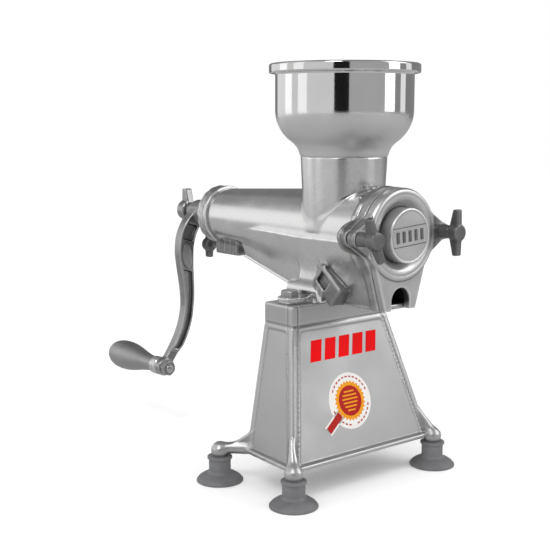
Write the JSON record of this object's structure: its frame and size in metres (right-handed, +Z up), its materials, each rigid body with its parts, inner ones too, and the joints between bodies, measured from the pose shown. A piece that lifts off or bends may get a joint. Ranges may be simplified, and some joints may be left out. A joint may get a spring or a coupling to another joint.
{
  "type": "hand auger fruit press",
  "caption": "Hand-cranked cast aluminium fruit press: hopper, tapered auger barrel with strainer, juice outlet cover, crank with turning grip and a pedestal on suction feet.",
  "frame": {"origin": "on the floor below the middle of the machine's bounding box, at rest", "axes": "+Z up; -Y towards the front cover and the juice outlet; +Y towards the crank; the auger's axis runs along Y"},
  "size_m": [0.2774, 0.487, 0.4433],
  "materials": {
    "polished_casting": "polished",
    "satin_casting": "satin",
    "as_cast": "as cast",
    "dark_casting": "dark blasted",
    "steel": "turned",
    "zinc": "zinc plated",
    "stainless": "pressed",
    "bronze": "oiled",
    "rubber": "matte",
    "fibre": "pressed fibre",
    "red_print": "printed film",
    "white_print": "printed film"
  },
  "bodies": {
    "machine": {"body_casting": "polished_casting", "cover_gasket": "rubber", "cover_studs": "steel", "strainer": "stainless", "rear_collar": "as_cast", "rear_bush": "bronze", "shaft_seal": "rubber", "pedestal": "satin_casting", "pedestal_bolts": "zinc", "pedestal_washers": "zinc", "pedestal_nuts": "zinc", "foot_front_left": "rubber", "foot_front_right": "rubber", "foot_rear_left": "rubber", "foot_rear_right": "rubber", "front_decal": "red_print", "round_sticker": "white_print"},
    "hopper": {"hopper": "polished_casting"},
    "cover": {"front_cover": "satin_casting", "front_bush": "bronze", "cover_washers": "zinc"},
    "left_nut": {"wing_nut_left": "dark_casting"},
    "right_nut": {"wing_nut_right": "dark_casting"},
    "rotor": {"main_shaft": "steel", "auger": "satin_casting", "auger_thrust_washer": "fibre", "crank_arm": "as_cast", "grip_ferrule": "as_cast", "grip_spindle": "steel", "spindle_nut": "zinc"},
    "grip": {"grip": "satin_casting"},
    "crank_washer": {"crank_washer": "zinc"},
    "crank_nut": {"crank_wing_nut": "as_cast"},
    "gate": {"pulp_gate": "stainless"},
    "regulator": {"regulator_screw": "steel", "regulator_knob": "dark_casting"}
  },
  "joints": [
    {"name": "crank_turn", "type": "hinge", "parent": "machine", "child": "rotor", "pos_m": [0, -0.13135, 0.2721], "axis": [0, 1, 0], "continuous": true},
    {"name": "grip_spin", "type": "hinge", "parent": "rotor", "child": "grip", "pos_m": [-0.05818, 0.14895, 0.0818], "axis": [0, 1, 0], "continuous": true},
    {"name": "hopper_lift", "type": "slide", "parent": "machine", "child": "hopper", "axis": [0, 0, 1], "range_m": [0, 0.03]},
    {"name": "cover_slide", "type": "slide", "parent": "machine", "child": "cover", "axis": [0, -1, 0], "range_m": [0, 0.01]},
    {"name": "left_nut_turn", "type": "hinge", "parent": "cover", "child": "left_nut", "pos_m": [-0.0585, -0.21735, 0.2721], "axis": [0, -1, 0], "range_deg": [0, 2880.1]},
    {"name": "right_nut_turn", "type": "hinge", "parent": "cover", "child": "right_nut", "pos_m": [0.0585, -0.21735, 0.2721], "axis": [0, -1, 0], "range_deg": [0, 2880.1]},
    {"name": "crank_washer_slide", "type": "slide", "parent": "rotor", "child": "crank_washer", "axis": [0, 1, 0], "range_m": [0, 0.00801]},
    {"name": "crank_nut_turn", "type": "hinge", "parent": "crank_washer", "child": "crank_nut", "pos_m": [0, 0.13627, 0.2721], "axis": [0, 1, 0], "range_deg": [0, 1920]},
    {"name": "gate_slide", "type": "slide", "parent": "machine", "child": "gate", "axis": [0, -1, 0], "range_m": [0, 0.012]},
    {"name": "regulator_turn", "type": "hinge", "parent": "gate", "child": "regulator", "pos_m": [0, 0.08865, 0.2326], "axis": [0, -1, 0], "range_deg": [0, 4320.1]}
  ],
  "couplings": [
    {"joint": "left_nut_turn", "follows": "cover_slide", "rad_per_m": 5026.5},
    {"joint": "right_nut_turn", "follows": "cover_slide", "rad_per_m": 5026.5},
    {"joint": "crank_washer_slide", "follows": "crank_nut_turn", "m_per_rad": 0.00023873},
    {"joint": "regulator_turn", "follows": "gate_slide", "rad_per_m": 6283.2}
  ]
}
